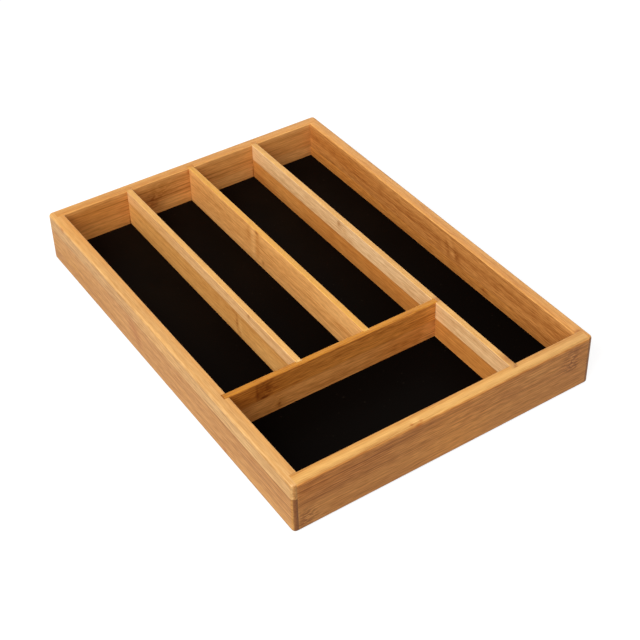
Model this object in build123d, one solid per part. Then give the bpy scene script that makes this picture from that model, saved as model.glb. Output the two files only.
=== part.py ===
from build123d import *
import os

# A cutlery tray: four bamboo walls round a black base panel, with three lanes, one lane that
# runs the whole depth on the right, and a wide compartment at the front left.
# Millimetres, +Z up. The underside of the walls is at z = 0 and the plan is centred on the
# origin. +X is to the right and +Y runs along the lanes to the back wall.

# Overall size
TRAY_WIDTH = 260.0
TRAY_DEPTH = 370.0
TRAY_HEIGHT = 45.0

# Boards, each edge-glued from a top strip and a bottom strip
WALL_THICKNESS = 10.0
DIVIDER_THICKNESS = 5.0

# Depth of each board's top strip, from the rim down to its glue line
LEFT_WALL_TOP_STRIP = 13.5
RIGHT_WALL_TOP_STRIP = 23.5
FRONT_WALL_TOP_STRIP = 24.5
BACK_WALL_TOP_STRIP = 22.0
LEFT_DIVIDER_TOP_STRIP = 10.5
MIDDLE_DIVIDER_TOP_STRIP = 15.0
LONG_DIVIDER_TOP_STRIP = 15.0
CROSS_DIVIDER_TOP_STRIP = 16.5

# Clear widths of the three short lanes, from the left wall on; the long lane takes the rest
LEFT_LANE_WIDTH = 57.5
MIDDLE_LANE_WIDTH = 54.0
THIRD_LANE_WIDTH = 58.0
FRONT_COMPARTMENT_DEPTH = 86.0

# Base panel, let into a groove that runs round the inside of the walls
PANEL_THICKNESS = 4.0
PANEL_RECESS = 8.0
GROOVE_DEPTH = 4.5
PANEL_EDGE_PLAY = 0.3
PANEL_FACE_PLAY = 0.1

# Corner joint: the side walls are rabbeted and keep a lip over the ends of the cross walls
CORNER_LIP = 4.0

# Housings that the ends of the dividers are let into
WALL_HOUSING_DEPTH = 4.0
DIVIDER_HOUSING_DEPTH = 2.0
HOUSING_SIDE_PLAY = 0.1
HOUSING_END_PLAY = 0.2

# Edges: rounded outer upright corners, rounded outer rims above and below, sanded inner edges
CORNER_ROUND = 3.2
RIM_ROUND = 2.5
EDGE_BREAK = 0.5

# How far a cutting shape runs past the wood that it cuts
CUT_OVERRUN = 6.0

# Faces of the walls and of the panel
HALF_WIDTH = TRAY_WIDTH / 2
HALF_DEPTH = TRAY_DEPTH / 2
INNER_RIGHT = HALF_WIDTH - WALL_THICKNESS
INNER_LEFT = -INNER_RIGHT
INNER_BACK = HALF_DEPTH - WALL_THICKNESS
INNER_FRONT = -INNER_BACK
PANEL_TOP = PANEL_RECESS + PANEL_THICKNESS

# Faces of the dividers, each pair from its lower to its higher coordinate
LEFT_DIVIDER_X = (INNER_LEFT + LEFT_LANE_WIDTH, INNER_LEFT + LEFT_LANE_WIDTH + DIVIDER_THICKNESS)
MIDDLE_DIVIDER_X = (
    LEFT_DIVIDER_X[1] + MIDDLE_LANE_WIDTH,
    LEFT_DIVIDER_X[1] + MIDDLE_LANE_WIDTH + DIVIDER_THICKNESS,
)
LONG_DIVIDER_X = (
    MIDDLE_DIVIDER_X[1] + THIRD_LANE_WIDTH,
    MIDDLE_DIVIDER_X[1] + THIRD_LANE_WIDTH + DIVIDER_THICKNESS,
)
CROSS_DIVIDER_Y = (
    INNER_FRONT + FRONT_COMPARTMENT_DEPTH,
    INNER_FRONT + FRONT_COMPARTMENT_DEPTH + DIVIDER_THICKNESS,
)

# Clear plan of each compartment: its limits along X, then along Y
COMPARTMENTS = {
    "left_lane": ((INNER_LEFT, LEFT_DIVIDER_X[0]), (CROSS_DIVIDER_Y[1], INNER_BACK)),
    "middle_lane": ((LEFT_DIVIDER_X[1], MIDDLE_DIVIDER_X[0]), (CROSS_DIVIDER_Y[1], INNER_BACK)),
    "third_lane": ((MIDDLE_DIVIDER_X[1], LONG_DIVIDER_X[0]), (CROSS_DIVIDER_Y[1], INNER_BACK)),
    "long_lane": ((LONG_DIVIDER_X[1], INNER_RIGHT), (INNER_FRONT, INNER_BACK)),
    "front_compartment": ((INNER_LEFT, LONG_DIVIDER_X[0]), (INNER_FRONT, CROSS_DIVIDER_Y[0])),
}


def block(x, y, z):
    """A block between its lower and higher limits along each axis."""
    middle = Pos((x[0] + x[1]) / 2, (y[0] + y[1]) / 2, (z[0] + z[1]) / 2)
    return middle * Box(x[1] - x[0], y[1] - y[0], z[1] - z[0])


def grown(limits, by):
    """Limits moved apart by the same length at both ends."""
    return (limits[0] - by, limits[1] + by)


def outer_form():
    """The tray's outside: rounded upright corners, and rims rounded above and below."""
    form = extrude(RectangleRounded(TRAY_WIDTH, TRAY_DEPTH, CORNER_ROUND), TRAY_HEIGHT)
    levels = form.edges().group_by(Axis.Z)
    return fillet(levels[0] + levels[-1], RIM_ROUND)


def flare(x, y, edge_z, up):
    """A pyramid frustum whose slopes break the edges of an opening by EDGE_BREAK.

    The opening has the limits x and y at the height edge_z, and up is 1 where it opens upward
    and -1 where it opens downward.
    """
    levels = []
    for grow in (-EDGE_BREAK, EDGE_BREAK + EDGE_BREAK):
        wide, deep = grown(x, grow), grown(y, grow)
        outline = Rectangle(wide[1] - wide[0], deep[1] - deep[0])
        height = edge_z + up * (grow - EDGE_BREAK)
        levels.append(Pos((wide[0] + wide[1]) / 2, (deep[0] + deep[1]) / 2, height) * outline)
    return loft(levels)


def edge_breaks():
    """The mouths of the five compartments, and the recess under the base panel."""
    cuts = [flare(x, y, TRAY_HEIGHT, 1) for x, y in COMPARTMENTS.values()]
    cuts.append(flare((INNER_LEFT, INNER_RIGHT), (INNER_FRONT, INNER_BACK), 0, -1))
    return cuts


def wall_housing(x, y):
    """A housing in a wall for the end of a divider with the plan limits x and y."""
    return block(x, y, (PANEL_TOP, TRAY_HEIGHT + CUT_OVERRUN))


def side_wall(side):
    """A wall along Y, on the left for side -1 or the right for side 1.

    Both ends are rabbeted for the front and back wall and keep the corner lip outside. The
    panel groove runs from end to end and stays inside the rabbets.
    """
    faces = sorted((side * HALF_WIDTH, side * INNER_RIGHT))
    wall = block(faces, (-HALF_DEPTH, HALF_DEPTH), (0, TRAY_HEIGHT))
    groove = sorted((side * INNER_RIGHT, side * (INNER_RIGHT + GROOVE_DEPTH)))
    wall -= block(groove, (-HALF_DEPTH, HALF_DEPTH), (PANEL_RECESS, PANEL_TOP + PANEL_FACE_PLAY))
    rabbet = sorted((side * (INNER_RIGHT - CUT_OVERRUN), side * (HALF_WIDTH - CORNER_LIP)))
    height = grown((0, TRAY_HEIGHT), CUT_OVERRUN)
    wall -= block(rabbet, (INNER_BACK, HALF_DEPTH + CUT_OVERRUN), height)
    wall -= block(rabbet, (-HALF_DEPTH - CUT_OVERRUN, INNER_FRONT), height)
    return wall


def left_wall():
    """The left wall, with the housing for the cross divider."""
    housing = wall_housing(
        (INNER_LEFT - WALL_HOUSING_DEPTH, INNER_LEFT + CUT_OVERRUN),
        grown(CROSS_DIVIDER_Y, HOUSING_SIDE_PLAY),
    )
    return side_wall(-1) - housing


def right_wall():
    """The right wall, which no divider meets."""
    return side_wall(1)


def cross_wall(side, dividers):
    """A wall along X, at the front for side -1 or the back for side 1.

    It fits between the lips of the side walls, and has a housing for each of the dividers,
    given as their limits along X.
    """
    length = (-HALF_WIDTH + CORNER_LIP, HALF_WIDTH - CORNER_LIP)
    wall = block(length, sorted((side * HALF_DEPTH, side * INNER_BACK)), (0, TRAY_HEIGHT))
    groove = sorted((side * INNER_BACK, side * (INNER_BACK + GROOVE_DEPTH)))
    wall -= block(length, groove, (PANEL_RECESS, PANEL_TOP + PANEL_FACE_PLAY))
    depth = sorted((side * (INNER_BACK - CUT_OVERRUN), side * (INNER_BACK + WALL_HOUSING_DEPTH)))
    for x in dividers:
        wall -= wall_housing(grown(x, HOUSING_SIDE_PLAY), depth)
    return wall


def front_wall():
    """The front wall, which holds one end of the long divider."""
    return cross_wall(-1, [LONG_DIVIDER_X])


def back_wall():
    """The back wall, which holds one end of all three dividers along Y."""
    return cross_wall(1, [LEFT_DIVIDER_X, MIDDLE_DIVIDER_X, LONG_DIVIDER_X])


def divider(x, y):
    """A divider that stands on the base panel and ends flush with the rim."""
    return block(x, y, (PANEL_TOP, TRAY_HEIGHT))


def short_divider(x):
    """A divider along Y from the cross divider to the back wall."""
    front = CROSS_DIVIDER_Y[1] - DIVIDER_HOUSING_DEPTH + HOUSING_END_PLAY
    return divider(x, (front, INNER_BACK + WALL_HOUSING_DEPTH - HOUSING_END_PLAY))


def left_divider():
    """The divider between the left and the middle lane."""
    return short_divider(LEFT_DIVIDER_X)


def middle_divider():
    """The divider between the middle and the third lane."""
    return short_divider(MIDDLE_DIVIDER_X)


def long_divider():
    """The divider from the front wall to the back wall, housed for the cross divider."""
    reach = WALL_HOUSING_DEPTH - HOUSING_END_PLAY
    board = divider(LONG_DIVIDER_X, grown((INNER_FRONT, INNER_BACK), reach))
    housing = (LONG_DIVIDER_X[0] - CUT_OVERRUN, LONG_DIVIDER_X[0] + DIVIDER_HOUSING_DEPTH)
    height = grown((PANEL_TOP, TRAY_HEIGHT), CUT_OVERRUN)
    return board - block(housing, grown(CROSS_DIVIDER_Y, HOUSING_SIDE_PLAY), height)


def cross_divider():
    """The divider along X from the left wall to the long divider, housed for the short ones."""
    left_end = INNER_LEFT - WALL_HOUSING_DEPTH + HOUSING_END_PLAY
    right_end = LONG_DIVIDER_X[0] + DIVIDER_HOUSING_DEPTH - HOUSING_END_PLAY
    board = divider((left_end, right_end), CROSS_DIVIDER_Y)
    housing = (CROSS_DIVIDER_Y[1] - DIVIDER_HOUSING_DEPTH, CROSS_DIVIDER_Y[1] + CUT_OVERRUN)
    height = grown((PANEL_TOP, TRAY_HEIGHT), CUT_OVERRUN)
    for x in (LEFT_DIVIDER_X, MIDDLE_DIVIDER_X):
        board -= block(grown(x, HOUSING_SIDE_PLAY), housing, height)
    return board


def base_panel():
    """The black panel, lying on the lower cheek of the groove with a little play all round."""
    reach = GROOVE_DEPTH - PANEL_EDGE_PLAY
    x = grown((INNER_LEFT, INNER_RIGHT), reach)
    y = grown((INNER_FRONT, INNER_BACK), reach)
    return block(x, y, (PANEL_RECESS, PANEL_TOP))


def strips(board, top_strip):
    """Parts a finished board along its glue line into its top and bottom strip."""
    glue_line = Plane.XY.offset(TRAY_HEIGHT - top_strip)
    return {
        "top_strip": split(board, bisect_by=glue_line, keep=Keep.TOP),
        "bottom_strip": split(board, bisect_by=glue_line, keep=Keep.BOTTOM),
    }


def tray():
    """Every piece of the tray under its node's name."""
    outside = outer_form()
    breaks = edge_breaks()
    boards = {
        "left_wall": (left_wall() & outside, LEFT_WALL_TOP_STRIP),
        "right_wall": (right_wall() & outside, RIGHT_WALL_TOP_STRIP),
        "front_wall": (front_wall() & outside, FRONT_WALL_TOP_STRIP),
        "back_wall": (back_wall() & outside, BACK_WALL_TOP_STRIP),
        "left_divider": (left_divider(), LEFT_DIVIDER_TOP_STRIP),
        "middle_divider": (middle_divider(), MIDDLE_DIVIDER_TOP_STRIP),
        "long_divider": (long_divider(), LONG_DIVIDER_TOP_STRIP),
        "cross_divider": (cross_divider(), CROSS_DIVIDER_TOP_STRIP),
    }
    pieces = {"base_panel": base_panel()}
    for name, (board, top_strip) in boards.items():
        for cut in breaks:
            board -= cut
        for strip, solid in strips(board, top_strip).items():
            pieces[f"{name}_{strip}"] = solid
    return pieces


os.makedirs("parts", exist_ok=True)
for node, piece in tray().items():
    export_step(piece, f"parts/{node}.step")
    print(node, round(piece.volume))
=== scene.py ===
"""Looks of a bamboo cutlery tray: four walls, four dividers and a black base panel.

Lengths are millimetres until a mesh, a lamp or the camera is written, which is in metres. The
tray stands on z = 0 with its plan centred on the origin. +X is to the right and +Y runs along
the lanes to the back wall.
"""

import logging
import math
from dataclasses import dataclass, field, fields
from enum import Enum
from typing import Callable, Mapping, Sequence, Union

import bmesh
import bpy
import numpy as np
from mathutils import Matrix, Vector


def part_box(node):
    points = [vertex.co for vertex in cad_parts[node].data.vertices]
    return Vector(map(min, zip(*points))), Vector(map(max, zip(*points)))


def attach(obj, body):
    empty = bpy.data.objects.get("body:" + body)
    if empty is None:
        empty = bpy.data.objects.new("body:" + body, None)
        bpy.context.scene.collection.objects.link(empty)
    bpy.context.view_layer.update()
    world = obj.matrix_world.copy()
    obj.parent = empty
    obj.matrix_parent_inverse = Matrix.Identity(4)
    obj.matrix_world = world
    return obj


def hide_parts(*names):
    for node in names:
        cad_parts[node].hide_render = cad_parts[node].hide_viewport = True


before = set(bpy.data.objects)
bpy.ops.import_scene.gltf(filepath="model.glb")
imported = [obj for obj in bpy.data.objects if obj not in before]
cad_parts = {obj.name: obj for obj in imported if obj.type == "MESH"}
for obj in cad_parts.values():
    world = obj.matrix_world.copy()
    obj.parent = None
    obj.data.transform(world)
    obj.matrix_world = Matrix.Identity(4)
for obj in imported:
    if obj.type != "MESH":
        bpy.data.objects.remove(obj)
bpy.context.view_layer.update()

log = logging.getLogger("cutlery_tray")

MM = 0.001
SIZE_DECIMALS = 3
STATION_DECIMALS = 6
EDGE_POINTS = 5

# Points nearer than this, in metres, are welded, and edges that turn by more stay sharp.
WELD = 2e-7
SHARP_ANGLE = math.radians(32.0)

Colour = tuple[float, float, float]
Place = tuple[float, float, float]
Limits = tuple[float, float]


class Grain(Enum):
    """The way that a board's fibres run: the value is the axis along them."""

    ALONG_X = 0
    ALONG_Y = 1

    @property
    def across(self) -> int:
        """The level axis square to the fibres."""
        return 1 - self.value


class Face(Enum):
    """A long upright face of a board."""

    FIRST = "first"
    SECOND = "second"


class Half(Enum):
    """One of the two strips that a board is glued from."""

    TOP = "top_strip"
    BOTTOM = "bottom_strip"


def node_box(node: str) -> np.ndarray:
    """The lowest and highest corner of a CAD node, as two rows of x, y and z in millimetres."""
    return np.round(np.array([tuple(corner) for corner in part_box(node)]) / MM, SIZE_DECIMALS)


def add_object(name: str, data: bpy.types.ID) -> bpy.types.Object:
    """Adds an object to the scene for a mesh, a lamp or a camera."""
    thing = bpy.data.objects.new(name, data)
    bpy.context.scene.collection.objects.link(thing)
    return thing


def grey(tone: float) -> tuple[float, ...]:
    """An opaque grey of one tone."""
    return (tone, tone, tone, 1.0)


@dataclass(frozen=True)
class Layout:
    """The tray's sizes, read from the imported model, with the joints' play and the roundings."""

    lip: float = 4.0
    wall_housing: float = 4.0
    divider_housing: float = 2.0
    side_play: float = 0.1
    groove_depth: float = 4.5
    face_play: float = 0.1
    corner_round: float = 3.2
    rim_round: float = 2.5
    edge_round: float = 0.8
    left: np.ndarray = field(default_factory=lambda: node_box("left_wall_top_strip"))
    right: np.ndarray = field(default_factory=lambda: node_box("right_wall_top_strip"))
    front: np.ndarray = field(default_factory=lambda: node_box("front_wall_top_strip"))
    back: np.ndarray = field(default_factory=lambda: node_box("back_wall_top_strip"))
    panel: np.ndarray = field(default_factory=lambda: node_box("base_panel"))

    @property
    def half_width(self) -> float:
        """Half the tray's width."""
        return float(self.right[1, 0])

    @property
    def half_depth(self) -> float:
        """Half the tray's depth."""
        return float(self.back[1, 1])

    @property
    def top(self) -> float:
        """The height of the rim."""
        return float(self.left[1, 2])

    @property
    def inside_x(self) -> Limits:
        """The inner faces of the side walls."""
        return float(self.left[1, 0]), float(self.right[0, 0])

    @property
    def inside_y(self) -> Limits:
        """The inner faces of the front and back walls."""
        return float(self.front[1, 1]), float(self.back[0, 1])

    @property
    def panel_top(self) -> float:
        """The height of the base panel's upper face."""
        return float(self.panel[1, 2])

    def rim_distance(self, x: np.ndarray, y: np.ndarray) -> np.ndarray:
        """How far a place in plan lies inside the tray's rounded outline.

        Args:
            x: Places along X.
            y: Places along Y.

        Returns:
            The distance to a rectangle whose corners are arcs of corner_round: beside an arc
            it is the radius less the distance to the arc's centre, elsewhere the distance to
            the nearer side.
        """
        from_side = self.half_width - np.abs(x)
        from_end = self.half_depth - np.abs(y)
        to_side = np.maximum(self.corner_round - from_side, 0)
        to_end = np.maximum(self.corner_round - from_end, 0)
        beside_arc = (to_side > 0) & (to_end > 0)
        round_corner = self.corner_round - np.hypot(to_side, to_end)
        return np.maximum(np.where(beside_arc, round_corner, np.minimum(from_side, from_end)), 0)

    def rim_drop(self, x: np.ndarray, y: np.ndarray) -> np.ndarray:
        """How far a rounded rim drops at a place: R - sqrt(R^2 - (R - d)^2), d in from outside."""
        short = self.rim_round - np.minimum(self.rim_distance(x, y), self.rim_round)
        return self.rim_round - np.sqrt(np.maximum(self.rim_round**2 - short**2, 0))


@dataclass(frozen=True)
class Cut:
    """A rabbet or housing: a stretch of a board where one face is set back, above a height."""

    along: Limits
    face: Face
    depth: float
    above: float = 0.0


@dataclass(frozen=True)
class Ring:
    """A closed profile round a strip's section.

    Each point is an anchor plus an edge rounding, which fades where the board runs into its
    neighbour. Across is measured from the board's first face. Second is 1 for a rounding of the
    second face, and on_rim is 1 for a point that follows the tray's rounded corners.
    """

    across: np.ndarray
    height: np.ndarray
    across_shift: np.ndarray
    height_shift: np.ndarray
    second: np.ndarray
    on_rim: np.ndarray

    @staticmethod
    def joined(runs: Sequence["Ring"]) -> "Ring":
        """One ring from runs of points in order."""
        names = [each.name for each in fields(Ring)]
        return Ring(*(np.concatenate([getattr(run, name) for run in runs]) for name in names))

    def turned(self) -> "Ring":
        """The run in the other order."""
        return Ring(*(getattr(self, each.name)[::-1] for each in fields(self)))

    @staticmethod
    def plain(across: Sequence[float], height: Sequence[float], on_rim: bool = False) -> "Ring":
        """A run of fixed points.

        Args:
            across: Places from the first face. A single value serves the whole run.
            height: Heights. A single value serves the whole run.
            on_rim: Whether the run follows the outline's rounded corners.

        Returns:
            The run.
        """
        u, z = np.broadcast_arrays(np.atleast_1d(across), np.atleast_1d(height))
        nothing = np.zeros(u.size)
        marked = np.full(u.size, float(on_rim))
        return Ring(u.astype(float), z.astype(float), nothing, nothing, nothing, marked)

    @staticmethod
    def rounded(corner: Limits, radius: float, turn: int, face: Face) -> "Ring":
        """A rounded edge at the top or the bottom of an inner face.

        The arc touches both faces: its points are the corner less radius (1 - sin a) across
        and radius (1 - cos a) in height, with a from 0 to 90 degrees.

        Args:
            corner: The sharp corner as its place across and its height.
            radius: The arc's radius.
            turn: 1 at a top edge and -1 at a bottom edge.
            face: The face that the edge belongs to.

        Returns:
            The run, from the first face to the second.
        """
        angle = np.linspace(0, math.pi / 2, EDGE_POINTS)
        inward = -1 if face is Face.SECOND else 1
        across = inward * radius * (1 - np.sin(angle))
        height = -turn * radius * (1 - np.cos(angle))
        if face is Face.FIRST:
            across, height = across[::-1], height[::-1]
        same = np.ones(EDGE_POINTS)
        belongs = same * (face is Face.SECOND)
        return Ring(same * corner[0], same * corner[1], across, height, belongs, same * 0)


@dataclass
class Board:
    """A board of the tray, glued from a top and a bottom strip, with its numpy-built meshes."""

    name: str
    grain: Grain
    layout: Layout
    outside: bool = False
    cuts: Sequence[Cut] = ()
    mouths: Mapping[Face, Sequence[Limits]] = field(default_factory=dict)
    arc_steps: int = 8
    guard: float = 0.5
    probe: float = 0.001

    def __post_init__(self) -> None:
        """Reads the board's own box and its glue line from its two strips."""
        boxes = [node_box(self.node(half)) for half in Half]
        self.glue_line = float(boxes[0][0, 2])
        self.box = np.array([np.min(boxes, axis=0)[0], np.max(boxes, axis=0)[1]])
        low, high = self.box[:, self.grain.across]
        inward = 1.0
        if self.outside and high > 0:
            low, high, inward = high, low, -1.0
        self.first_face = float(low)
        self.inward = inward
        self.thickness = float(abs(high - low))

    def node(self, half: Half) -> str:
        """The CAD node that one strip stands for."""
        return f"{self.name}_{half.value}"

    @property
    def ends(self) -> Limits:
        """Where the board starts and ends along its grain."""
        low, high = self.box[:, self.grain.value]
        return float(low), float(high)

    @property
    def reaches_corners(self) -> bool:
        """Whether the board's ends form the tray's rounded corners."""
        return self.outside and self.grain is Grain.ALONG_Y

    def stations(self) -> tuple[np.ndarray, np.ndarray]:
        """Places of the rings along the grain, in order.

        Each end of a cut has two rings at one place, one just outside the cut and one just
        inside it. A corner has a ring for each step of its arc, at R (1 - cos a) from the end.

        Returns:
            The places, and for each the place where its cuts are looked up.
        """
        start, end = self.ends
        places = [(start, start), (end, end)]
        if self.reaches_corners:
            radius = self.layout.corner_round
            for step in (*self.arc(radius), radius + self.guard):
                places += [(start + step,) * 2, (end - step,) * 2]
        for cut in self.cuts:
            for place in cut.along:
                if start < place < end:
                    places += [(place, place - self.probe), (place, place + self.probe)]
        for mouth in (limits for all_limits in self.mouths.values() for limits in all_limits):
            for place, way in zip(mouth, (-1, 1)):
                for step in (-self.guard, 0, self.layout.edge_round):
                    at = place + way * step
                    if start < at < end:
                        places.append((at, at))
        table = np.unique(np.round(places, STATION_DECIMALS), axis=0)
        table = table[np.lexsort((table[:, 1], table[:, 0]))]
        keep = np.append(True, np.diff(table[:, 1]) > self.probe / 2)
        return table[keep, 0], table[keep, 1]

    def rounding(self, along: np.ndarray, face: Face) -> np.ndarray:
        """How fully one face's edges are rounded at places along the board.

        Args:
            along: The places.
            face: The face.

        Returns:
            1 beside a compartment, falling in a straight line to 0 at edge_round past its end.
        """
        share = np.zeros_like(along)
        for low, high in self.mouths.get(face, ()):
            beyond = np.maximum(np.maximum(low - along, along - high), 0)
            share = np.maximum(share, 1 - beyond / self.layout.edge_round)
        return np.clip(share, 0, 1)

    def corner_inset(self, along: np.ndarray) -> np.ndarray:
        """How far the outer face stands in from its plane at the tray's rounded corners.

        Args:
            along: Places along the board.

        Returns:
            R - sqrt(R^2 - r^2), with r how far the place lies past the start of the arc.
        """
        if not self.reaches_corners:
            return np.zeros_like(along)
        radius = self.layout.corner_round
        past = np.clip(np.abs(along) - (self.layout.half_depth - radius), 0, radius)
        return radius - np.sqrt(np.maximum(radius**2 - past**2, 0))

    def flat_marks(self) -> np.ndarray:
        """Places across the board where a level face needs points, for its cuts and rims."""
        marks = [cut.depth if cut.face is Face.FIRST else self.thickness - cut.depth for cut in self.cuts]
        return np.unique(np.array(marks))

    def arc(self, radius: float) -> np.ndarray:
        """Steps inward, R (1 - cos a), at which a quarter round has points."""
        angle = np.linspace(0, math.pi / 2, self.arc_steps + 1)
        return radius * (1 - np.cos(angle))

    def top_ring(self) -> Ring:
        """The profile of the top strip, from the glue line up the first face and back down."""
        top, glue, thick = self.layout.top, self.glue_line, self.thickness
        edge = self.layout.edge_round
        second = Ring.rounded((thick, top), edge, 1, Face.SECOND)
        down = Ring.plain([thick], [top - edge - self.guard, (top + glue) / 2, glue])
        back = Ring.plain(self.flat_marks()[::-1], [glue])
        if self.outside:
            rim = self.layout.rim_round
            up = Ring.plain([0], [glue, (top + glue) / 2, top - rim - self.guard, top - rim], True)
            arc = Ring.plain(self.arc(rim)[1:], [top], True)
            first_flat = rim + self.guard
        else:
            up = Ring.plain([0], [glue, (top + glue) / 2, top - edge - self.guard])
            arc = Ring.rounded((0, top), edge, 1, Face.FIRST)
            first_flat = edge + self.guard
        marks = self.flat_marks()
        last_flat = thick - edge - self.guard
        marks = marks[(marks > first_flat + self.guard / 2) & (marks < last_flat - self.guard / 2)]
        flat = Ring.plain(np.concatenate([[first_flat], marks, [last_flat]]), [top])
        return Ring.joined([up, arc, flat, second, down, back])

    def bottom_ring(self) -> Ring:
        """The profile of the bottom strip, with a wall's panel groove."""
        glue, thick = self.glue_line, self.thickness
        across = Ring.plain(self.flat_marks(), [glue])
        if not self.outside:
            floor = self.layout.panel_top
            down = Ring.plain([thick], [glue, (glue + floor) / 2, floor])
            back = Ring.plain(self.flat_marks()[::-1], [floor])
            up = Ring.plain([0], [floor, (glue + floor) / 2, glue])
            return Ring.joined([across, down, back, up])
        rim, edge = self.layout.rim_round, self.layout.edge_round
        low, high = self.layout.panel[0, 2], self.layout.panel_top + self.layout.face_play
        groove = thick - self.layout.groove_depth
        down = Ring.plain([thick], [glue, (glue + high) / 2, high])
        cheeks = Ring.plain([groove, groove, thick], [high, low, low])
        second = Ring.rounded((thick, 0), edge, -1, Face.SECOND)
        lower = Ring.plain([thick], [edge + self.guard])
        under = Ring.plain([thick - edge - self.guard, thick / 2, rim + self.guard], [0])
        arc = Ring.plain(self.arc(rim)[:0:-1], [0], True)
        up = Ring.plain([0], [rim, rim + self.guard, glue / 2, glue], True)
        return Ring.joined([across, down, cheeks, lower, second.turned(), under, arc, up])

    def lattice(self, half: Half) -> np.ndarray:
        """Every point of a strip's surface, worked out as whole arrays.

        A ring is carried along the grain. Across a point is its anchor plus the edge rounding
        of its face there, moved in at the tray's corners and held back to the bottom of any
        cut. Its height is then brought within the rounded rim above and below.

        Args:
            half: The strip.

        Returns:
            An array of stations by ring points by x, y and z.
        """
        ring = self.top_ring() if half is Half.TOP else self.bottom_ring()
        along, looked_up = self.stations()
        share = np.where(
            ring.second > 0,
            self.rounding(along, Face.SECOND)[:, None],
            self.rounding(along, Face.FIRST)[:, None],
        )
        across = ring.across + share * ring.across_shift
        height = ring.height + share * ring.height_shift
        inset = self.corner_inset(along)[:, None]
        across = np.where(ring.on_rim > 0, across + inset, across)
        if self.outside:
            past_arc = (ring.on_rim == 0) & (inset > 0)
            across = np.where(past_arc, np.maximum(across, inset + self.layout.rim_round), across)
        across, height = self._cut_back(across, height, looked_up)
        level = self.first_face + self.inward * across
        run = np.broadcast_to(along[:, None], across.shape)
        x, y = (run, level) if self.grain is Grain.ALONG_X else (level, run)
        if self.outside:
            drop = self.layout.rim_drop(x, y)
            height = np.clip(height, drop, self.layout.top - drop)
        return np.stack([x, y, height], axis=-1)

    def _cut_back(
        self, across: np.ndarray, height: np.ndarray, looked_up: np.ndarray
    ) -> tuple[np.ndarray, np.ndarray]:
        """Holds points back to the bottom of the rabbets and housings.

        Args:
            across: Places from the first face.
            height: Heights of the same points.
            looked_up: Where each station's cuts are looked up.

        Returns:
            The new places and the heights.
        """
        for cut in self.cuts:
            inside = (looked_up > cut.along[0]) & (looked_up < cut.along[1])
            reached = inside[:, None] & (height >= cut.above)
            if cut.face is Face.SECOND:
                limited = np.minimum(across, self.thickness - cut.depth)
            else:
                limited = np.maximum(across, cut.depth)
            across = np.where(reached, limited, across)
        return across, height

    def build(self, half: Half) -> bpy.types.Object:
        """Makes one strip as a closed mesh that replaces its CAD node.

        Args:
            half: The strip.

        Returns:
            The new object, with no material yet.
        """
        points = self.lattice(half) * MM
        rows, columns = points.shape[:2]
        index = np.arange(rows * columns).reshape(rows, columns)
        ahead = np.roll(index, -1, axis=1)
        sides = np.stack([index[:-1], ahead[:-1], ahead[1:], index[1:]], axis=-1).reshape(-1, 4)
        faces = sides.tolist() + [index[0].tolist(), index[-1, ::-1].tolist()]
        mesh = bpy.data.meshes.new(f"{self.node(half)}_bamboo")
        mesh.from_pydata(points.reshape(-1, 3).tolist(), [], faces)
        tidy_mesh(mesh)
        return add_object(mesh.name, mesh)


def tidy_mesh(mesh: bpy.types.Mesh) -> None:
    """Welds a mesh, drops its faces of no area, turns it outwards and shades it.

    Args:
        mesh: The mesh.
    """
    work = bmesh.new()
    work.from_mesh(mesh)
    bmesh.ops.remove_doubles(work, verts=work.verts, dist=WELD)
    bmesh.ops.dissolve_degenerate(work, dist=WELD, edges=work.edges)
    bmesh.ops.recalc_face_normals(work, faces=work.faces)
    work.to_mesh(mesh)
    work.free()
    mesh.shade_smooth()
    mesh.set_sharp_from_angle(angle=SHARP_ANGLE)


Value = Union["Wire", float]
Inputs = Mapping[Union[str, int], object]
Owner = Union[bpy.types.Material, bpy.types.World]


def operator(operation: str, swapped: bool = False) -> Callable[["Wire", Value], "Wire"]:
    """Makes a method of Wire that adds one Math node.

    Args:
        operation: The Math node's operation.
        swapped: Whether the value comes first, as in 1 - mask.

    Returns:
        The method.
    """

    def method(self: "Wire", value: Value) -> "Wire":
        """The operation on self and a value."""
        return self.tree.math(operation, *((value, self) if swapped else (self, value)))

    return method


class Wire:
    """One output socket of a shader, which takes part in Python arithmetic."""

    __add__ = operator("ADD")
    __radd__ = operator("ADD", swapped=True)
    __sub__ = operator("SUBTRACT")
    __rsub__ = operator("SUBTRACT", swapped=True)
    __mul__ = operator("MULTIPLY")
    __rmul__ = operator("MULTIPLY", swapped=True)
    __truediv__ = operator("DIVIDE")
    larger = operator("MAXIMUM")

    def __init__(self, tree: "ShaderTree", socket: bpy.types.NodeSocket) -> None:
        """Keeps a socket and the tree that it is in."""
        self.tree = tree
        self.socket = socket

    def other(self, name: str) -> "Wire":
        """Another output of the same node."""
        return Wire(self.tree, self.socket.node.outputs[name])

    def __abs__(self) -> "Wire":
        """Self without its sign."""
        return self.tree.math("ABSOLUTE", self)

    def ramp(self, low: float, high: float, smooth: bool = True) -> "Wire":
        """A rise from 0 to 1 between two values.

        Args:
            low: Where the rise starts. It may be more than high, and then it is a fall.
            high: Where it ends.
            smooth: Whether it starts and ends level.

        Returns:
            The risen value, held between 0 and 1.
        """
        kind = "SMOOTHSTEP" if smooth else "LINEAR"
        inputs = {"Value": self, "From Min": low, "From Max": high}
        return self.tree.add("ShaderNodeMapRange", {"interpolation_type": kind}, inputs)

    def tinted(self, tint: Colour, share: Value) -> "Wire":
        """A colour multiplied by a tint, as far as share says."""
        return self.tree.times(self, self.tree.blend(WHITE, tint, share))

    def bell(self, width: float) -> "Wire":
        """A bump of height 1 about 0: e to the power of minus (self / width) squared."""
        scaled = self / width
        return self.tree.math("EXPONENT", scaled * scaled * -1.0)


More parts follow.
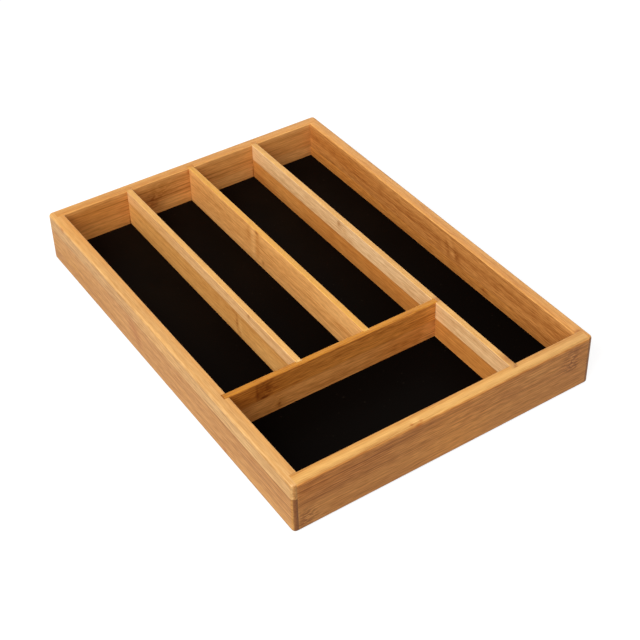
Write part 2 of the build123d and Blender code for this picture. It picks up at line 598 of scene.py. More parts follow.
class ShaderTree:
    """The nodes of a material or a world, added one after another."""

    def __init__(self, owner: Owner) -> None:
        """Empties the owner's tree."""
        self.owner = owner
        owner.use_nodes = True
        self.nodes = owner.node_tree.nodes
        self.links = owner.node_tree.links
        self.nodes.clear()

    def add(
        self,
        kind: str,
        settings: Mapping[str, object] | None = None,
        inputs: Inputs | None = None,
        output: Union[str, int] = 0,
    ) -> Wire:
        """Adds one node: its settings first, then the values or links of its sockets.

        Args:
            kind: The node's type.
            settings: Its properties.
            inputs: Values or wires by socket name or number.
            output: The output that is handed back.

        Returns:
            The output as a wire.
        """
        node = self.nodes.new(kind)
        for key, value in (settings or {}).items():
            setattr(node, key, value)
        for key, value in (inputs or {}).items():
            if isinstance(value, Wire):
                self.links.new(value.socket, node.inputs[key])
            else:
                node.inputs[key].default_value = value
        return Wire(self, node.outputs[output]) if node.outputs else None

    def math(self, operation: str, *values: Value) -> Wire:
        """A Math node on wires and numbers."""
        return self.add("ShaderNodeMath", {"operation": operation}, dict(enumerate(values)))

    def scaled(self, vector: Wire, factor: float) -> Wire:
        """A vector times a number."""
        return self.add("ShaderNodeVectorMath", {"operation": "SCALE"}, {0: vector, "Scale": factor})

    def times(self, first: Wire, second: Wire) -> Wire:
        """Two colours multiplied channel by channel."""
        return self.add("ShaderNodeVectorMath", {"operation": "MULTIPLY"}, {0: first, 1: second})

    def blend(self, first: object, second: object, share: Value) -> Wire:
        """A mix of two colours.

        Args:
            first: The colour, or its wire, where share is 0.
            second: The colour, or its wire, where share is 1.
            share: How much of the second is taken.

        Returns:
            The mixed colour.
        """
        settings = {"data_type": "RGBA", "clamp_factor": True}
        first = first if isinstance(first, Wire) else (*first, 1.0)
        second = second if isinstance(second, Wire) else (*second, 1.0)
        return self.add("ShaderNodeMix", settings, {0: share, 6: first, 7: second}, 2)

    def noise(self, place: Wire, detail: float = 1.0) -> Wire:
        """Soft noise at a place, about MIDDLE."""
        inputs = {"Vector": place, "Scale": 1.0, "Detail": detail}
        return self.add("ShaderNodeTexNoise", inputs=inputs, output="Fac")

    def satin(
        self, colour: Wire, roughness: Wire, specular: float, height: Wire, relief: Limits
    ) -> Wire:
        """A Principled shader with a Bump node behind its normal.

        Args:
            colour: The base colour.
            roughness: The roughness.
            specular: The specular level.
            height: The relief's height.
            relief: The relief's strength, and its depth in millimetres.

        Returns:
            The shader.
        """
        strength, depth = relief
        inputs = {"Strength": strength, "Distance": depth * MM, "Height": height}
        bump = self.add("ShaderNodeBump", inputs=inputs)
        inputs = {
            "Base Color": colour,
            "Roughness": roughness,
            "Specular IOR Level": specular,
            "Normal": bump,
        }
        return self.add("ShaderNodeBsdfPrincipled", inputs=inputs)

    def finish(self, shader: Wire) -> Owner:
        """Ends the tree in its output and hands the owner back."""
        kind = "World" if isinstance(self.owner, bpy.types.World) else "Material"
        self.add(f"ShaderNodeOutput{kind}", inputs={"Surface": shader})
        return self.owner


class Facing(Enum):
    """The way that a part of a strip's surface looks, by which its faces are told apart."""

    LOW = "toward -X or -Y"
    HIGH = "toward +X or +Y"
    LEVEL = "up or down"
    END = "along the fibres"


# How far a surface has to turn before it counts as a side, a level face, an end or an edge.
SIDE_FADE = (0.2, 0.6)
LEVEL_FADE = (0.45, 0.85)
END_FADE = (0.5, 0.85)
EDGE_FADE = (0.04, 0.25)

# Noise lies about the middle of its range.
MIDDLE = 0.5


@dataclass(frozen=True)
class Spot:
    """Wires for the place being shaded: millimetres along, across and up, and how it faces."""

    along: Wire
    across: Wire
    up: Wire
    facing: Mapping[Facing, Wire]
    edge: Wire

    @staticmethod
    def read(tree: ShaderTree, grain: Grain) -> "Spot":
        """Reads the place and its facing from a piece's own coordinates.

        Args:
            tree: The material's tree.
            grain: The way that the fibres run.

        Returns:
            The wires. Each facing is 1 on its own faces and fades over the rounded edges.
        """
        coordinates = tree.add("ShaderNodeTexCoord", output="Object")
        place = tree.add("ShaderNodeSeparateXYZ", inputs={0: tree.scaled(coordinates, 1 / MM)})
        normal = tree.add("ShaderNodeSeparateXYZ", inputs={0: coordinates.other("Normal")})
        along, across = "XY"[grain.value], "XY"[grain.across]
        lie, turn, rise = normal.other(along), normal.other(across), normal.other("Z")
        facing = {
            Facing.LOW: turn.ramp(-SIDE_FADE[0], -SIDE_FADE[1]),
            Facing.HIGH: turn.ramp(*SIDE_FADE),
            Facing.LEVEL: abs(rise).ramp(*LEVEL_FADE),
            Facing.END: abs(lie).ramp(*END_FADE),
        }
        edge = (1 - abs(lie).larger(abs(turn)).larger(abs(rise))).ramp(*EDGE_FADE)
        return Spot(place.other(along), place.other(across), place.other("Z"), facing, edge)


@dataclass(frozen=True)
class Tones:
    """A strip's mean colours, face by face."""

    low: Colour
    level: Colour
    high: Colour
    end: Colour

    def mixed(self, tree: ShaderTree, spot: Spot) -> Wire:
        """The mean colour at a place."""
        colour = tree.blend(self.low, self.high, spot.facing[Facing.HIGH])
        colour = tree.blend(colour, self.level, spot.facing[Facing.LEVEL])
        return tree.blend(colour, self.end, spot.facing[Facing.END])


@dataclass(frozen=True)
class Figure:
    """One layer of the bamboo's figure: its size across and along the fibres, and its share.

    Low and high are the noise that spread makes 0 and 1.
    """

    across: float
    along: float
    share: float = 0.0
    detail: float = 1.0
    low: float = 0.3
    high: float = 0.7

    def noise(self, along: Wire, across: Wire, up: Wire, seed: float) -> Wire:
        """The layer's noise at a place in its own measure, moved by a strip's seed."""
        inputs = {"X": across / self.across, "Y": up / self.across, "Z": along / self.along + seed}
        return along.tree.noise(along.tree.add("ShaderNodeCombineXYZ", inputs=inputs), self.detail)

    def spread(self, along: Wire, across: Wire, up: Wire, seed: float) -> Wire:
        """The layer's noise, spread out between 0 and 1."""
        return self.noise(along, across, up, seed).ramp(self.low, self.high, smooth=False)


@dataclass(frozen=True)
class Mark:
    """A stain, streak or knot: a soft ellipse in which the colour is multiplied by a tint.

    Cross is the height on an upright face and the place across the board on a level one. Ragged
    is how far noise moves the outline, lean how far the mark leans along the fibres for each
    millimetre across it, and mottle how far noise breaks it up into strokes.
    """

    along: float
    cross: float
    length: float
    breadth: float
    tint: Colour
    facing: Facing = Facing.LOW
    ragged: float = 0.0
    lean: float = 0.0
    mottle: float = 0.0
    ragged_aside: float = 0.4
    mottle_limits: Limits = (-0.03, 0.05)

    def applied(self, colour: Wire, spot: Spot, ragged: Wire) -> Wire:
        """Multiplies a colour by the tint, where the mark lies.

        Args:
            colour: The colour so far.
            spot: The place.
            ragged: Noise about 0 that breaks the outline up.

        Returns:
            The new colour.
        """
        cross = spot.across if self.facing is Facing.LEVEL else spot.up
        aside = cross - self.cross
        ahead = spot.along - self.along
        if self.lean:
            ahead = ahead - aside * self.lean
        if self.ragged:
            ahead = ahead + ragged * self.ragged
            aside = aside + ragged * self.ragged * self.ragged_aside
        share = ahead.bell(self.length) * aside.bell(self.breadth) * spot.facing[self.facing]
        if self.mottle:
            share = share * (1 - ragged.ramp(*self.mottle_limits) * self.mottle)
        return colour.tinted(self.tint, share)


WHITE = (1.0, 1.0, 1.0)
DEEP_FIBRE = (0.70, 0.58, 0.45)
PALE_FIBRE = (1.30, 1.42, 1.55)
FINE_LINE = (0.70, 0.58, 0.44)
GLUE_TINT = (0.86, 0.80, 0.72)
# Paler tint on every rounded edge: partly sanded-through wear, partly a painted highlight where the
# rounded edges catch the light.
WORN_AND_HIGHLIT_EDGE = (1.06, 1.14, 1.30)

BANDS = Figure(across=7.0, along=300.0, share=0.30)
STREAKS = Figure(across=1.1, along=65.0, share=0.36, detail=1.5)
FIBRES = Figure(across=0.8, along=9.0, share=0.42)
BUNDLES = Figure(across=0.4, along=6.0, low=0.60, high=0.78)
FINE_LINES = Figure(across=1.8, along=100.0, detail=2.0)
WANDER = Figure(across=40.0, along=130.0)
RAGGED = Figure(across=1.8, along=4.5, detail=2.0)


@dataclass(frozen=True)
class BambooFinish:
    """The colour and figure of one strip: sanded bamboo under a thin satin oil.

    Lines and bundles are the shares of the thin lines and the fibre bundles, and contrast is the
    strength of the fine figure, which is calm on level faces. Wander is how far the figure
    strays across and up. The fields after calm are alike on all strips.
    """

    seed: float
    tones: Tones
    marks: Sequence[Mark] = ()
    lines: float = 0.35
    bundles: float = 0.3
    contrast: float = 1.0
    calm: float = 0.55
    wander: Limits = (1.5, 3.0)
    line_width: float = 0.03
    line_bands: Limits = (1.0, 0.3)
    glue_width: float = 0.25
    fibre_height: float = 0.5
    glue_depth: float = 0.6
    relief: Limits = (0.6, 0.03)
    roughness: float = 0.52
    fibre_gloss: float = 0.08
    specular: float = 0.25
    cell_scale: float = 0.9
    cell_limits: Limits = (0.42, 0.18)
    cell_depth: float = 0.6

    def material(self, name: str, board: Board) -> bpy.types.Material:
        """Makes the strip's material, in millimetres on the piece's own coordinates.

        Args:
            name: The material's name.
            board: The board that the strip belongs to.

        Returns:
            The material.
        """
        tree = ShaderTree(bpy.data.materials.new(name))
        spot = Spot.read(tree, board.grain)
        ragged = RAGGED.noise(spot.along, spot.across, spot.up, self.seed) - MIDDLE
        wander = WANDER.noise(spot.along, spot.across, spot.up, self.seed) - MIDDLE
        aside, rise = self.wander
        wave = (spot.along, spot.across + wander * aside, spot.up + wander * rise, self.seed)

        bands, streaks, fibres = (layer.spread(*wave) for layer in (BANDS, STREAKS, FIBRES))
        fine = (streaks - MIDDLE) * STREAKS.share + (fibres - MIDDLE) * FIBRES.share
        strength = self.contrast + spot.facing[Facing.LEVEL] * (self.calm - self.contrast)
        tone = (bands - MIDDLE) * BANDS.share + fine * strength + MIDDLE
        near = abs(FINE_LINES.noise(*wave) - MIDDLE).ramp(self.line_width, 0.0)
        thin = near * bands.ramp(*self.line_bands) * self.lines
        shade = tree.blend(DEEP_FIBRE, PALE_FIBRE, tone).tinted(FINE_LINE, thin)
        shade = shade.tinted(FINE_LINE, BUNDLES.spread(*wave) * self.bundles)

        colour = tree.times(self.tones.mixed(tree, spot), shade)
        for mark in self.marks:
            colour = mark.applied(colour, spot, ragged)
        glue = (spot.up - board.glue_line).bell(self.glue_width)
        # The glue line's darker tint, then the rounded edges' paler tint, which is wear and painted
        # highlight.
        colour = colour.tinted(GLUE_TINT, glue).tinted(WORN_AND_HIGHLIT_EDGE, spot.edge)
        colour = self._end_grain(colour, spot)

        height = fibres * self.fibre_height + streaks * self.fibre_height - glue * self.glue_depth
        roughness = self.roughness - fibres * self.fibre_gloss
        return tree.finish(tree.satin(colour, roughness, self.specular, height, self.relief))

    def _end_grain(self, colour: Wire, spot: Spot) -> Wire:
        """Dots the faces that cut across the fibres with the cut bundles.

        Args:
            colour: The colour so far.
            spot: The place.

        Returns:
            The new colour.
        """
        tree = colour.tree
        place = tree.add("ShaderNodeCombineXYZ", inputs={"X": spot.across, "Y": spot.up})
        inputs = {"Vector": place, "Scale": self.cell_scale}
        cells = tree.add("ShaderNodeTexVoronoi", inputs=inputs, output="Distance")
        dots = cells.ramp(*self.cell_limits) * spot.facing[Facing.END]
        return colour.tinted(FINE_LINE, dots * self.cell_depth)


@dataclass(frozen=True)
class BlackPanelFinish:
    """The base panel: smooth near-black board with some dust, and a brown sheen painted into its colour,
    a painted reflection of the bamboo walls, which grows toward the back.

    Even is the painted sheen's share outside the soft clouds, which break it into blotches.
    """

    name: str = "black_panel"
    black: Colour = (0.0021, 0.0014, 0.0010)
    # The colour of the painted reflection of the bamboo walls.
    sheen_brown: Colour = (0.0062, 0.0035, 0.0020)
    dust: Colour = (0.03, 0.022, 0.016)
    fade: Limits = (-90.0, 110.0)
    even: float = 0.6
    cloud_size: float = 45.0
    cloud_limits: Limits = (0.35, 0.65)
    speck_size: float = 1.8
    speck_limits: Limits = (0.83, 0.86)
    speck_share: float = 0.35
    pebble_size: float = 0.9
    relief: Limits = (0.4, 0.02)
    roughness: float = 0.5
    cloud_gloss: float = 0.15
    specular: float = 0.008

    def material(self) -> bpy.types.Material:
        """Makes the panel's material."""
        tree = ShaderTree(bpy.data.materials.new(self.name))
        place = tree.scaled(tree.add("ShaderNodeTexCoord", output="Object"), 1 / MM)
        depth = tree.add("ShaderNodeSeparateXYZ", inputs={0: place}, output="Y")
        cloud = tree.noise(tree.scaled(place, 1 / self.cloud_size), detail=2.0)
        pebble = tree.noise(tree.scaled(place, 1 / self.pebble_size), detail=1.0)
        speck = tree.noise(tree.scaled(place, 1 / self.speck_size), detail=0.0)
        clouded = self.even + cloud.ramp(*self.cloud_limits) * (1 - self.even)
        # Painted reflection: a brown sheen that rises toward the back, broken up by the clouds.
        colour = tree.blend(self.black, self.sheen_brown, depth.ramp(*self.fade) * clouded)
        dust = speck.ramp(*self.speck_limits) * self.speck_share
        colour = tree.blend(colour, self.dust, dust)
        roughness = self.roughness + (cloud - MIDDLE) * self.cloud_gloss
        return tree.finish(tree.satin(colour, roughness, self.specular, pebble, self.relief))


IVORY = (0.79, 0.48, 0.22)
STRAW = (0.75, 0.43, 0.18)
CREAM = (0.67, 0.36, 0.12)
WHEAT = (0.67, 0.35, 0.095)
HONEY = (0.72, 0.345, 0.10)
SYRUP = (0.70, 0.31, 0.08)
GOLD = (0.65, 0.31, 0.08)
OCHRE = (0.61, 0.285, 0.048)
SAND = (0.60, 0.28, 0.08)
AMBER = (0.65, 0.26, 0.060)
TOFFEE = (0.57, 0.255, 0.062)
RUSSET = (0.62, 0.225, 0.037)
SIENNA = (0.555, 0.215, 0.043)
UMBER = (0.53, 0.20, 0.010)
CHESTNUT = (0.50, 0.195, 0.044)
WALNUT = (0.38, 0.15, 0.04)
DARK_END = (0.27, 0.094, 0.022)

LIGHTER = (1.12, 1.22, 1.38)
DEEPER = (0.97, 0.87, 0.70)
GILT = (0.97, 0.92, 0.62)
BRIGHTER = (1.18, 1.18, 1.10)
DIMMER = (0.86, 0.84, 0.88)
REDDISH = (0.80, 0.60, 0.45)
DARK_LINE = (0.70, 0.58, 0.45)
BROWN = (0.60, 0.45, 0.32)
SMOKE = (0.84, 0.74, 0.62)
DUSK = (0.74, 0.65, 0.48)
BARK = (0.50, 0.36, 0.24)
KNOT = (0.42, 0.28, 0.18)


def rim_edge(across: float) -> Mark:
    """The deeper tone along the inner edge of a wall's rim."""
    return Mark(0, across, 900, 2.6, DEEPER, Facing.LEVEL)


def dark_line(along: float, up: float, length: float, breadth: float = 0.6) -> Mark:
    """A thin dark line that runs with the fibres of a low face."""
    return Mark(along, up, length, breadth, DARK_LINE)


@dataclass
class Boards:
    """The tray's walls and dividers, dressed strip by strip."""

    layout: Layout

    def walls(self) -> list[Board]:
        """The four walls, with their rabbets and housings."""
        layout = self.layout
        inside_y, inside_x = layout.inside_y, layout.inside_x
        cross = self._faces("cross_divider", Grain.ALONG_X)
        depth = float(layout.left[1, 0] - layout.left[0, 0]) - layout.lip
        ends = ((-math.inf, inside_y[0]), (inside_y[1], math.inf))
        rabbets = [Cut(limits, Face.SECOND, depth) for limits in ends]
        cross_housing = self._housing(cross, layout.wall_housing)
        along_x = [self._housing(self._faces(name), layout.wall_housing) for name in DIVIDERS]
        lanes = self._lanes()
        return [
            Board("left_wall", Grain.ALONG_Y, layout, True, [*rabbets, cross_housing],
                  {Face.SECOND: [(inside_y[0], cross[0]), (cross[1], inside_y[1])]}),
            Board("right_wall", Grain.ALONG_Y, layout, True, rabbets, {Face.SECOND: [inside_y]}),
            Board("front_wall", Grain.ALONG_X, layout, True, along_x[2:],
                  {Face.SECOND: [(inside_x[0], lanes[2][1]), lanes[3]]}),
            Board("back_wall", Grain.ALONG_X, layout, True, along_x, {Face.SECOND: lanes}),
        ]

    def dividers(self) -> list[Board]:
        """The four dividers, with their housings."""
        layout = self.layout
        inside_x, inside_y = layout.inside_x, layout.inside_y
        cross = self._faces("cross_divider", Grain.ALONG_X)
        lanes = self._lanes()
        behind, ahead = (cross[1], inside_y[1]), (inside_y[0], cross[0])
        short = {Face.FIRST: [behind], Face.SECOND: [behind]}
        crossed = self._housing(cross, layout.divider_housing, Face.FIRST)
        met = [self._housing(self._faces(name), layout.divider_housing) for name in DIVIDERS[:2]]
        return [
            Board("left_divider", Grain.ALONG_Y, layout, mouths=short),
            Board("middle_divider", Grain.ALONG_Y, layout, mouths=short),
            Board("long_divider", Grain.ALONG_Y, layout, cuts=[crossed],
                  mouths={Face.FIRST: [ahead, behind], Face.SECOND: [inside_y]}),
            Board("cross_divider", Grain.ALONG_X, layout, cuts=met,
                  mouths={Face.FIRST: [(inside_x[0], lanes[2][1])], Face.SECOND: lanes[:3]}),
        ]

    @staticmethod
    def _faces(name: str, grain: Grain = Grain.ALONG_Y) -> Limits:
        """The two long faces of a divider."""
        low, high = node_box(f"{name}_top_strip")[:, grain.across]
        return float(low), float(high)

    def _lanes(self) -> list[Limits]:
        """The clear limits along X of the lanes behind the cross divider."""
        inner = self.layout.inside_x
        faces = [inner[0], *(x for name in DIVIDERS for x in self._faces(name)), inner[1]]
        return list(zip(faces[::2], faces[1::2]))

    def _housing(self, limits: Limits, depth: float, face: Face = Face.SECOND) -> Cut:
        """A housing for a board that ends between two limits, open at the top."""
        play = self.layout.side_play
        return Cut((limits[0] - play, limits[1] + play), face, depth, self.layout.panel_top)

    def build(self) -> None:
        """Builds, dresses and places every strip, and reports each."""
        for board in self.walls() + self.dividers():
            for half in Half:
                node = board.node(half)
                piece = board.build(half)
                material = FINISHES[node].material(node.removesuffix("_strip"), board)
                piece.data.materials.append(material)
                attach(piece, "root")
                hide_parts(node)
                log.info("%s: %d faces", piece.name, len(piece.data.polygons))


DIVIDERS = ("left_divider", "middle_divider", "long_divider")

# The tones are those of the low, level, high and end faces. Marks are given in millimetres.
FINISHES: dict[str, BambooFinish] = {
    "left_wall_top_strip": BambooFinish(1.3, Tones(CREAM, CREAM, CREAM, SAND), [
        rim_edge(-121.5),
        Mark(150, -125, 50, 20, DEEPER, Facing.LEVEL),
        Mark(159, 43, 4, 1.5, REDDISH, ragged=2),
        Mark(0, 38, 30, 8, BRIGHTER),
        Mark(-82, 38, 20, 3.5, LIGHTER, ragged=6),
        Mark(-128, 36, 16, 3, LIGHTER, ragged=6),
    ], contrast=1.2),
    "left_wall_bottom_strip": BambooFinish(2.7, Tones(TOFFEE, GOLD, GOLD, DARK_END), [
        Mark(37, 21, 7, 9, REDDISH, ragged=5, lean=0.5, mottle=0.35),
        Mark(-95, 5, 3, 1.8, REDDISH, ragged=2),
        Mark(145, 12, 60, 14, GILT),
        dark_line(-110, 30.6, 60, 0.5),
        dark_line(-152, 26.5, 34, 0.5),
        dark_line(-146, 21.5, 40, 0.5),
        dark_line(-156, 16, 30),
    ], contrast=1.2),
    "right_wall_top_strip": BambooFinish(3.1, Tones(CHESTNUT, GOLD, AMBER, WALNUT), [
        rim_edge(121.5),
        Mark(-175, 124, 2, 3, BROWN, Facing.LEVEL, ragged=3),
        # Painted highlight: a lighter band along the top of the inner face, where its rounded edge meets
        # the rim.
        Mark(0, 44, 900, 3.2, LIGHTER),
        Mark(130, 35, 50, 9, DEEPER),
        Mark(-31, 32, 3, 8, LIGHTER, ragged=4, lean=0.25),
        Mark(-25.5, 31, 2.4, 7, BROWN, ragged=5, lean=0.25, mottle=0.6),
        Mark(-37.5, 30, 3, 7, BROWN, ragged=5, lean=0.25, mottle=0.6),
    ], lines=0.9, contrast=1.8),
    "right_wall_bottom_strip": BambooFinish(4.9, Tones(SIENNA, GOLD, CREAM, WALNUT), [
        Mark(-73, 18, 4, 2, BROWN, ragged=4, mottle=0.5),
        Mark(120, 20, 50, 10, BRIGHTER),
        Mark(-140, 20, 30, 10, DIMMER),
    ], lines=0.6, contrast=1.6),
    "front_wall_top_strip": BambooFinish(5.2, Tones(AMBER, WHEAT, AMBER, AMBER), [
        rim_edge(-176.5),
        dark_line(-68, 36, 55),
        dark_line(-35, 39.2, 60, 0.45),
        dark_line(14, 30, 14),
        dark_line(-20, 22.5, 80, 0.45),
        *(Mark(-92 + 5 * row, 24 + 1.9 * row, 34, 0.35, BROWN) for row in range(7)),
        Mark(75, 33, 9, 4, LIGHTER, ragged=4),
        Mark(-118, 36, 45, 9, DEEPER),
        Mark(111.5, 30, 2.2, 9, LIGHTER, ragged=4),
        Mark(110.5, 29, 8.5, 12, BARK, ragged=6, mottle=1),
        Mark(5, 32, 32, 22, BRIGHTER),
        Mark(-125.5, 36, 0.7, 14, LIGHTER),
        Mark(-28, 43.5, 2.6, 1.4, REDDISH, ragged=2),
        Mark(-29, -181.5, 3.5, 2.2, LIGHTER, Facing.LEVEL),
        Mark(-32.5, -183, 1.3, 1.3, REDDISH, Facing.LEVEL),
        Mark(-25, -183.5, 1.3, 1.1, REDDISH, Facing.LEVEL),
        Mark(125, -180, 60, 20, DIMMER, Facing.LEVEL),
    ], lines=0.9, contrast=1.6),
    "front_wall_bottom_strip": BambooFinish(6.8, Tones(AMBER, GOLD, AMBER, AMBER), [
        Mark(-117, 10, 9, 8, LIGHTER),
        Mark(-119.5, 10, 7, 8.5, BARK, ragged=5, mottle=1),
        Mark(5, 12, 32, 22, BRIGHTER),
        Mark(-125.5, 14, 0.7, 14, LIGHTER),
    ], contrast=1.3),
    "back_wall_top_strip": BambooFinish(7.4, Tones(SYRUP, GOLD, AMBER, AMBER), [
        rim_edge(176.5),
        # Painted highlight: a lighter band along the top of the inner face, where its rounded edge meets
        # the rim.
        Mark(0, 44, 900, 3.5, LIGHTER),
        Mark(-95, 36, 30, 12, DEEPER),
        dark_line(-50, 37, 60),
        dark_line(20, 31, 70),
        dark_line(-20, 27, 70),
        Mark(-33, 33, 12, 8, DUSK, ragged=6, mottle=0.7),
        Mark(-40.5, 27, 6.5, 6, BROWN, ragged=6, mottle=0.5),
        Mark(-4.4, 42, 1.4, 2, REDDISH, ragged=1),
    ], lines=0.45, contrast=0.8),
    "back_wall_bottom_strip": BambooFinish(8.6, Tones(HONEY, GOLD, CREAM, AMBER), [
        Mark(-85, 19, 35, 10, DEEPER),
        Mark(0, 18, 28, 10, BRIGHTER),
        Mark(-40.5, 21, 6.5, 4, BROWN, ragged=6, mottle=0.5),
        Mark(-63, 13, 0.5, 6, KNOT),
        Mark(59, 18, 0.4, 12, BROWN),
    ], lines=0.45),
    "left_divider_top_strip": BambooFinish(9.5, Tones(STRAW, WHEAT, STRAW, CREAM), [
        Mark(-20, 43, 2, 1.5, BROWN, ragged=2),
        Mark(177.5, -59, 2, 4, REDDISH, Facing.LEVEL),
        Mark(135, 38, 45, 8, DEEPER),
        Mark(-85, -59, 1.6, 4, LIGHTER, Facing.LEVEL),
    ]),
    "left_divider_bottom_strip": BambooFinish(10.2, Tones(GOLD, GOLD, GOLD, AMBER), [
        Mark(-50, 20, 30, 8, LIGHTER),
        Mark(-6.5, 22, 2.4, 8, LIGHTER, ragged=3),
        Mark(-1.5, 24, 1.6, 7, BROWN, ragged=4, mottle=0.5),
        Mark(-5, 16, 2.4, 2.2, BROWN, ragged=4, mottle=0.4),
    ]),
    "middle_divider_top_strip": BambooFinish(11.9, Tones(HONEY, OCHRE, HONEY, CREAM), [
        Mark(-60, 37, 40, 10, LIGHTER),
        Mark(71, 36, 3.4, 14, LIGHTER, ragged=7),
        Mark(64.5, 38, 3, 7, SMOKE, ragged=4, mottle=0.4),
        Mark(78, 34, 3, 9, SMOKE, ragged=4, mottle=0.4),
        Mark(65, 43, 2.4, 1.4, BROWN, ragged=2),
        Mark(177.5, 0, 2, 4, REDDISH, Facing.LEVEL),
        Mark(-85, 0, 1.6, 4, LIGHTER, Facing.LEVEL),
    ], contrast=1.2),
    "middle_divider_bottom_strip": BambooFinish(12.4, Tones(HONEY, GOLD, HONEY, AMBER), [
        Mark(71, 24, 3.4, 12, LIGHTER, ragged=7),
        Mark(65, 24, 3, 7, SMOKE, ragged=4, mottle=0.4),
        Mark(57, 18, 1.8, 2.4, BROWN, ragged=3, mottle=0.3),
    ], contrast=1.2),
    "long_divider_top_strip": BambooFinish(13.7, Tones(IVORY, WHEAT, STRAW, CREAM), [
        Mark(0, 40, 45, 8, LIGHTER),
        Mark(40, 40, 3.4, 4, BROWN, ragged=5, mottle=0.6),
        Mark(33, 38, 4, 4, SMOKE, ragged=5, mottle=0.5),
        Mark(177.5, 62.5, 2, 4, REDDISH, Facing.LEVEL),
        Mark(-178, 62, 2, 3, BROWN, Facing.LEVEL, ragged=2, mottle=0.5),
        Mark(-86.5, 62.5, 4, 3, BROWN, Facing.LEVEL, ragged=4),
        Mark(-169, 62.5, 8, 3, BROWN, Facing.LEVEL, ragged=6),
    ]),
    "long_divider_bottom_strip": BambooFinish(14.1, Tones(SIENNA, GOLD, RUSSET, AMBER), [
        Mark(120, 22, 40, 9, LIGHTER),
    ]),
    "cross_divider_top_strip": BambooFinish(15.6, Tones(RUSSET, UMBER, RUSSET, RUSSET), [
        Mark(-91, 36, 9, 8.5, BARK, ragged=6, mottle=0.7),
        Mark(-97.5, 36, 1.2, 7, BROWN, ragged=2),
        Mark(-93, 29.8, 3, 1.4, BARK, ragged=2),
        Mark(-123.7, -86.5, 0.6, 3, BROWN, Facing.LEVEL),
        Mark(-100, 37, 50, 12, DUSK),
        Mark(55, 30, 6, 16, LIGHTER),
    ], lines=0.9, contrast=1.8),
    "cross_divider_bottom_strip": BambooFinish(16.3, Tones(AMBER, AMBER, AMBER, AMBER), [
        Mark(-80, 20, 4.6, 8, DUSK, ragged=5, mottle=0.8),
        Mark(-80, 17, 1.5, 2.4, BROWN, ragged=2),
        Mark(30, 20, 28, 12, DEEPER),
        Mark(55, 20, 6, 16, LIGHTER),
    ], contrast=1.5),
}


@dataclass(frozen=True)
class BasePanel:
    """The black panel in the walls' groove. Its CAD node is kept and gets its finish."""

    node: str = "base_panel"

    def dress(self) -> None:
        """Puts the black finish on the panel's own material slots."""
        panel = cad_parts[self.node]
        material = BlackPanelFinish().material()
        for slot in panel.material_slots:
            slot.material = material
        if not panel.material_slots:
            panel.data.materials.append(material)
        log.info("%s: %d material slots", self.node, len(panel.material_slots))


@dataclass(frozen=True)
class Softbox:
    """A square area lamp that looks at a place above the floor."""

    name: str
    place: Place
    size: float
    power: float
    target: Place = (0.0, 0.0, 0.02)

    def build(self) -> None:
        """Adds the lamp."""
        lamp = bpy.data.lights.new(self.name, "AREA")
        lamp.shape = "SQUARE"
        lamp.size = self.size
        lamp.energy = self.power
        sight = Vector(self.target) - Vector(self.place)
        turn = sight.to_track_quat("-Z", "Y").to_matrix().to_4x4()
        add_object(self.name, lamp).matrix_world = Matrix.Translation(self.place) @ turn


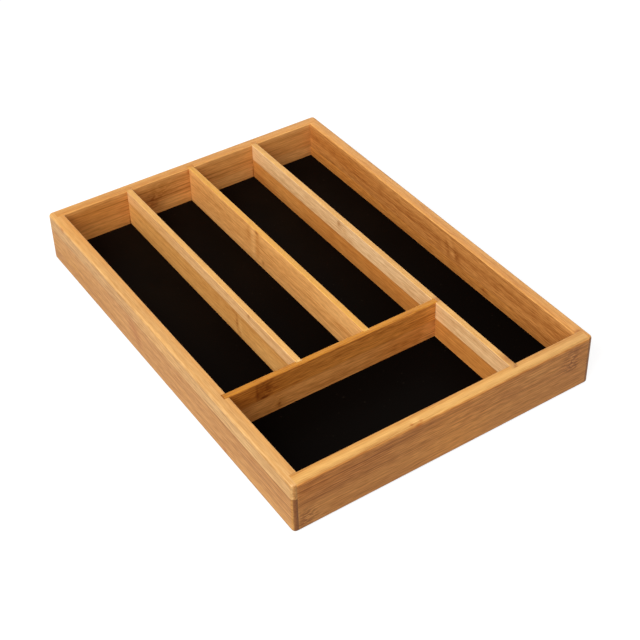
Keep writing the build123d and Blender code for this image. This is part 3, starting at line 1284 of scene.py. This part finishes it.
@dataclass(frozen=True)
class Studio:
    """A plain pale floor under soft lamps, white all round to the camera.

    Past the fade's distances from the tray the floor is as white as the world, so that no
    horizon shows.
    """

    floor_size: float = 8.0
    floor_gap: float = 0.0002
    floor_tone: float = 0.12
    shown_tone: float = 0.33
    shown_glow: float = 0.77
    fade: Limits = (0.4, 0.8)
    ambient: float = 0.22
    lamps: Sequence[Softbox] = (
        Softbox("key_softbox", (-2.8, -0.8, 2.25), 2.4, 140.0),
        Softbox("top_softbox", (0.2, -1.3, 3.2), 2.6, 44.0),
        Softbox("back_softbox", (2.4, 2.4, 2.2), 2.2, 30.0),
    )

    def build(self) -> None:
        """Adds the floor, the world and the lamps."""
        self._floor()
        self._world()
        for lamp in self.lamps:
            lamp.build()
        bpy.context.scene.view_settings.view_transform = "Standard"
        log.info("studio: %d lamps", len(self.lamps))

    def _floor(self) -> None:
        """Adds the floor as a square just under the tray."""
        half = self.floor_size / 2
        corners = ((-half, -half), (half, -half), (half, half), (-half, half))
        mesh = bpy.data.meshes.new("floor")
        mesh.from_pydata([(x, y, -self.floor_gap) for x, y in corners], [], [(0, 1, 2, 3)])
        tree = ShaderTree(bpy.data.materials.new("pale_floor"))
        plain = tree.add("ShaderNodeBsdfDiffuse", inputs={"Color": grey(self.floor_tone)})
        shown = tree.add("ShaderNodeBsdfDiffuse", inputs={"Color": grey(self.shown_tone)})
        glow = tree.add("ShaderNodeEmission", inputs={"Color": grey(1.0), "Strength": self.shown_glow})
        near = tree.add("ShaderNodeAddShader", inputs={0: shown, 1: glow})
        far = tree.add("ShaderNodeEmission", inputs={"Color": grey(1.0), "Strength": 1.0})
        place = tree.add("ShaderNodeTexCoord", output="Object")
        away = tree.add("ShaderNodeVectorMath", {"operation": "LENGTH"}, {0: place}, "Value")
        lit = tree.add("ShaderNodeMixShader", inputs={0: away.ramp(*self.fade), 1: near, 2: far})
        mixed = tree.add("ShaderNodeMixShader", inputs={0: self._seen(tree), 1: plain, 2: lit})
        mesh.materials.append(tree.finish(mixed))
        floor = add_object("floor", mesh)

    @staticmethod
    def _seen(tree: ShaderTree) -> Wire:
        """1 for camera, glossy and transmission rays, otherwise 0."""
        ray = tree.add("ShaderNodeLightPath", output="Is Camera Ray")
        return ray.larger(ray.other("Is Glossy Ray")).larger(ray.other("Is Transmission Ray"))

    def _world(self) -> None:
        """Makes the world white to the camera and a soft grey light otherwise."""
        world = bpy.data.worlds.new("soft_white")
        bpy.context.scene.world = world
        tree = ShaderTree(world)
        soft = tree.add("ShaderNodeBackground", inputs={"Color": grey(1.0), "Strength": self.ambient})
        plain = tree.add("ShaderNodeBackground", inputs={"Color": grey(1.0), "Strength": 1.0})
        tree.finish(tree.add("ShaderNodeMixShader", inputs={0: self._seen(tree), 1: soft, 2: plain}))


@dataclass(frozen=True)
class PhotoCamera:
    """The camera at the photograph's place, looking down over the front left corner."""

    place: Place = (-0.44615, -0.72049, 0.70852)
    right: Place = (0.82725, -0.56168, -0.01303)
    up: Place = (0.35551, 0.50537, 0.78626)
    lens: float = 78.457
    shift: Limits = (-0.03, -0.075)
    sensor: float = 36.0

    def build(self) -> None:
        """Adds the camera and makes it the scene's."""
        data = bpy.data.cameras.new("photo_camera")
        data.lens = self.lens
        data.shift_x, data.shift_y = self.shift
        data.sensor_width = self.sensor
        camera = add_object("photo_camera", data)
        right, up = Vector(self.right), Vector(self.up)
        turn = Matrix((right, up, right.cross(up))).transposed().to_4x4()
        camera.matrix_world = Matrix.Translation(self.place) @ turn
        bpy.context.scene.camera = camera
        log.info("camera: %.1f mm lens", self.lens)


def main() -> None:
    """Builds the dressed tray and its studio."""
    logging.basicConfig(level=logging.INFO, format="%(name)s: %(message)s")
    Boards(Layout()).build()
    BasePanel().dress()
    Studio().build()
    PhotoCamera().build()


if __name__ == "__main__":
    main()
